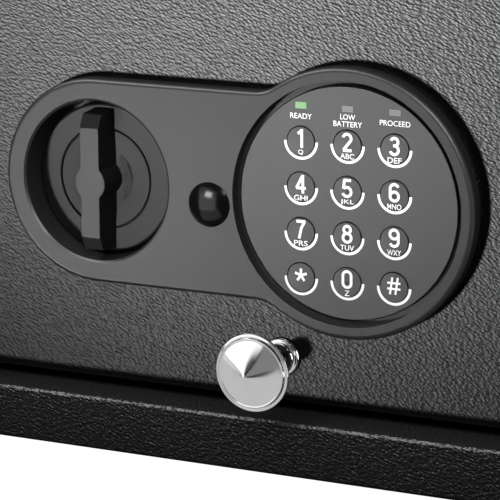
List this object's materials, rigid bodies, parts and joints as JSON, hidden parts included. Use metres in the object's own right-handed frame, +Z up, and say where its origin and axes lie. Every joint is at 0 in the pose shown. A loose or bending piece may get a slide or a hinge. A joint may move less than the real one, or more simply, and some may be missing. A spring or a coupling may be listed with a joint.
{
  "type": "drawer safe",
  "caption": "Steel drawer safe with a recessed pull-out drawer, a round keypad, a turning knob in a dish, a covered key lock and a bright pull knob.",
  "frame": {"origin": "middle of the underside of the case", "axes": "+X to the right seen from the front, +Y from the front into the safe, +Z up"},
  "size_m": [0.356, 0.3475, 0.2286],
  "materials": {
    "powder_coat": "wrinkled charcoal powder coat",
    "case_coat": "finer charcoal powder coat, darker than the drawer's",
    "zinc_steel": "zinc plated",
    "polished_steel": "ground and polished",
    "nickel_plate": "bright nickel",
    "matte_abs": "fine satin moulding",
    "keypad_plastic": "fine matte with white printing",
    "key_plastic": "satin with white printing",
    "gloss_plastic": "high gloss",
    "lamp_green": "lit green lens",
    "lamp_grey": "clear lens, unlit",
    "rubber": "matte",
    "felt": "needled felt",
    "circuit_board": "green solder mask",
    "brass": "turned",
    "nylon": "moulded",
    "copper_wire": "enamelled",
    "battery_wrap": "printed sleeve",
    "red_plastic": "moulded"
  },
  "bodies": {
    "case": {"case_shell": "case_coat", "back_panel": "case_coat", "front_frame": "case_coat", "runner_brackets": "zinc_steel", "case_runners": "zinc_steel", "case_runner_screws": "zinc_steel", "rear_buffers": "rubber"},
    "drawer": {"front_panel": "powder_coat", "mechanism_cover": "powder_coat", "cover_screws": "zinc_steel", "drawer_tray": "powder_coat", "drawer_mat": "felt", "drawer_runners": "zinc_steel", "drawer_runner_screws": "zinc_steel", "lock_housing": "matte_abs", "housing_screws": "zinc_steel", "keypad_face": "keypad_plastic", "keypad_board": "circuit_board", "ready_lamp": "lamp_green", "status_lamps": "lamp_grey", "pull_knob": "nickel_plate", "pull_knob_screw": "zinc_steel", "override_barrel": "nickel_plate", "override_nut": "zinc_steel", "knob_bush": "nylon", "guide_studs": "zinc_steel", "solenoid_frame": "zinc_steel", "solenoid_coil": "copper_wire", "solenoid_spring": "zinc_steel", "battery_box": "matte_abs", "batteries": "battery_wrap", "reset_switch": "circuit_board", "wiring": "copper_wire"},
    "ball_cages": {"runner_cages": "zinc_steel", "runner_balls": "polished_steel"},
    "knob": {"turn_knob": "matte_abs", "knob_shaft": "zinc_steel", "crank_plate": "zinc_steel"},
    "left_bolt_set": {"left_bolt_plate": "zinc_steel", "left_bolts": "polished_steel"},
    "right_bolt_set": {"right_bolt_plate": "zinc_steel", "right_bolts": "polished_steel"},
    "plunger": {"solenoid_plunger": "polished_steel"},
    "cap": {"override_cap": "gloss_plastic"},
    "lock_plug": {"override_plug": "brass", "override_cam": "zinc_steel"},
    "battery_lid": {"battery_cover": "matte_abs"},
    "reset": {"reset_button": "red_plastic"},
    "key_1_cap": {"key_1": "key_plastic"},
    "key_2_cap": {"key_2": "key_plastic"},
    "key_3_cap": {"key_3": "key_plastic"},
    "key_4_cap": {"key_4": "key_plastic"},
    "key_5_cap": {"key_5": "key_plastic"},
    "key_6_cap": {"key_6": "key_plastic"},
    "key_7_cap": {"key_7": "key_plastic"},
    "key_8_cap": {"key_8": "key_plastic"},
    "key_9_cap": {"key_9": "key_plastic"},
    "key_star_cap": {"key_star": "key_plastic"},
    "key_0_cap": {"key_0": "key_plastic"},
    "key_hash_cap": {"key_hash": "key_plastic"}
  },
  "joints": [
    {"name": "drawer_slide", "type": "slide", "parent": "case", "child": "drawer", "axis": [0, -1, 0], "range_m": [0, 0.19]},
    {"name": "cage_slide", "type": "slide", "parent": "case", "child": "ball_cages", "axis": [0, -1, 0], "range_m": [0, 0.095]},
    {"name": "knob_turn", "type": "hinge", "parent": "drawer", "child": "knob", "pos_m": [-0.0808, -0.148, 0.1101], "axis": [0, -1, 0], "range_deg": [0, 90]},
    {"name": "left_bolt_slide", "type": "slide", "parent": "drawer", "child": "left_bolt_set", "axis": [-1, 0, 0], "range_m": [0, 0.01697]},
    {"name": "right_bolt_slide", "type": "slide", "parent": "drawer", "child": "right_bolt_set", "axis": [1, 0, 0], "range_m": [0, 0.01698]},
    {"name": "plunger_drop", "type": "slide", "parent": "drawer", "child": "plunger", "axis": [0, 0, -1], "range_m": [0, 0.0052], "deforming": ["solenoid_spring"]},
    {"name": "cap_pull", "type": "slide", "parent": "drawer", "child": "cap", "axis": [0, -1, 0], "range_m": [0, 0.012]},
    {"name": "lock_plug_turn", "type": "hinge", "parent": "drawer", "child": "lock_plug", "pos_m": [-0.029, -0.148, 0.1051], "axis": [0, 1, 0], "range_deg": [0, 90]},
    {"name": "battery_lid_lift", "type": "slide", "parent": "drawer", "child": "battery_lid", "axis": [0, 1, 0], "range_m": [0, 0.02]},
    {"name": "reset_press", "type": "slide", "parent": "drawer", "child": "reset", "axis": [0, -1, 0], "range_m": [0, 0.0015], "stiffness_N_per_m": 900},
    {"name": "key_1_press", "type": "slide", "parent": "drawer", "child": "key_1_cap", "axis": [0, 1, 0], "range_m": [0, 0.001], "stiffness_N_per_m": 900},
    {"name": "key_2_press", "type": "slide", "parent": "drawer", "child": "key_2_cap", "axis": [0, 1, 0], "range_m": [0, 0.001], "stiffness_N_per_m": 900},
    {"name": "key_3_press", "type": "slide", "parent": "drawer", "child": "key_3_cap", "axis": [0, 1, 0], "range_m": [0, 0.001], "stiffness_N_per_m": 900},
    {"name": "key_4_press", "type": "slide", "parent": "drawer", "child": "key_4_cap", "axis": [0, 1, 0], "range_m": [0, 0.001], "stiffness_N_per_m": 900},
    {"name": "key_5_press", "type": "slide", "parent": "drawer", "child": "key_5_cap", "axis": [0, 1, 0], "range_m": [0, 0.001], "stiffness_N_per_m": 900},
    {"name": "key_6_press", "type": "slide", "parent": "drawer", "child": "key_6_cap", "axis": [0, 1, 0], "range_m": [0, 0.001], "stiffness_N_per_m": 900},
    {"name": "key_7_press", "type": "slide", "parent": "drawer", "child": "key_7_cap", "axis": [0, 1, 0], "range_m": [0, 0.001], "stiffness_N_per_m": 900},
    {"name": "key_8_press", "type": "slide", "parent": "drawer", "child": "key_8_cap", "axis": [0, 1, 0], "range_m": [0, 0.001], "stiffness_N_per_m": 900},
    {"name": "key_9_press", "type": "slide", "parent": "drawer", "child": "key_9_cap", "axis": [0, 1, 0], "range_m": [0, 0.001], "stiffness_N_per_m": 900},
    {"name": "key_star_press", "type": "slide", "parent": "drawer", "child": "key_star_cap", "axis": [0, 1, 0], "range_m": [0, 0.001], "stiffness_N_per_m": 900},
    {"name": "key_0_press", "type": "slide", "parent": "drawer", "child": "key_0_cap", "axis": [0, 1, 0], "range_m": [0, 0.001], "stiffness_N_per_m": 900},
    {"name": "key_hash_press", "type": "slide", "parent": "drawer", "child": "key_hash_cap", "axis": [0, 1, 0], "range_m": [0, 0.001], "stiffness_N_per_m": 900}
  ],
  "couplings": [
    {"joint": "cage_slide", "follows": "drawer_slide", "ratio": 0.5},
    {"joint": "knob_turn", "follows": "left_bolt_slide", "rad_per_m": 92.56},
    {"joint": "right_bolt_slide", "follows": "left_bolt_slide", "ratio": 1}
  ]
}
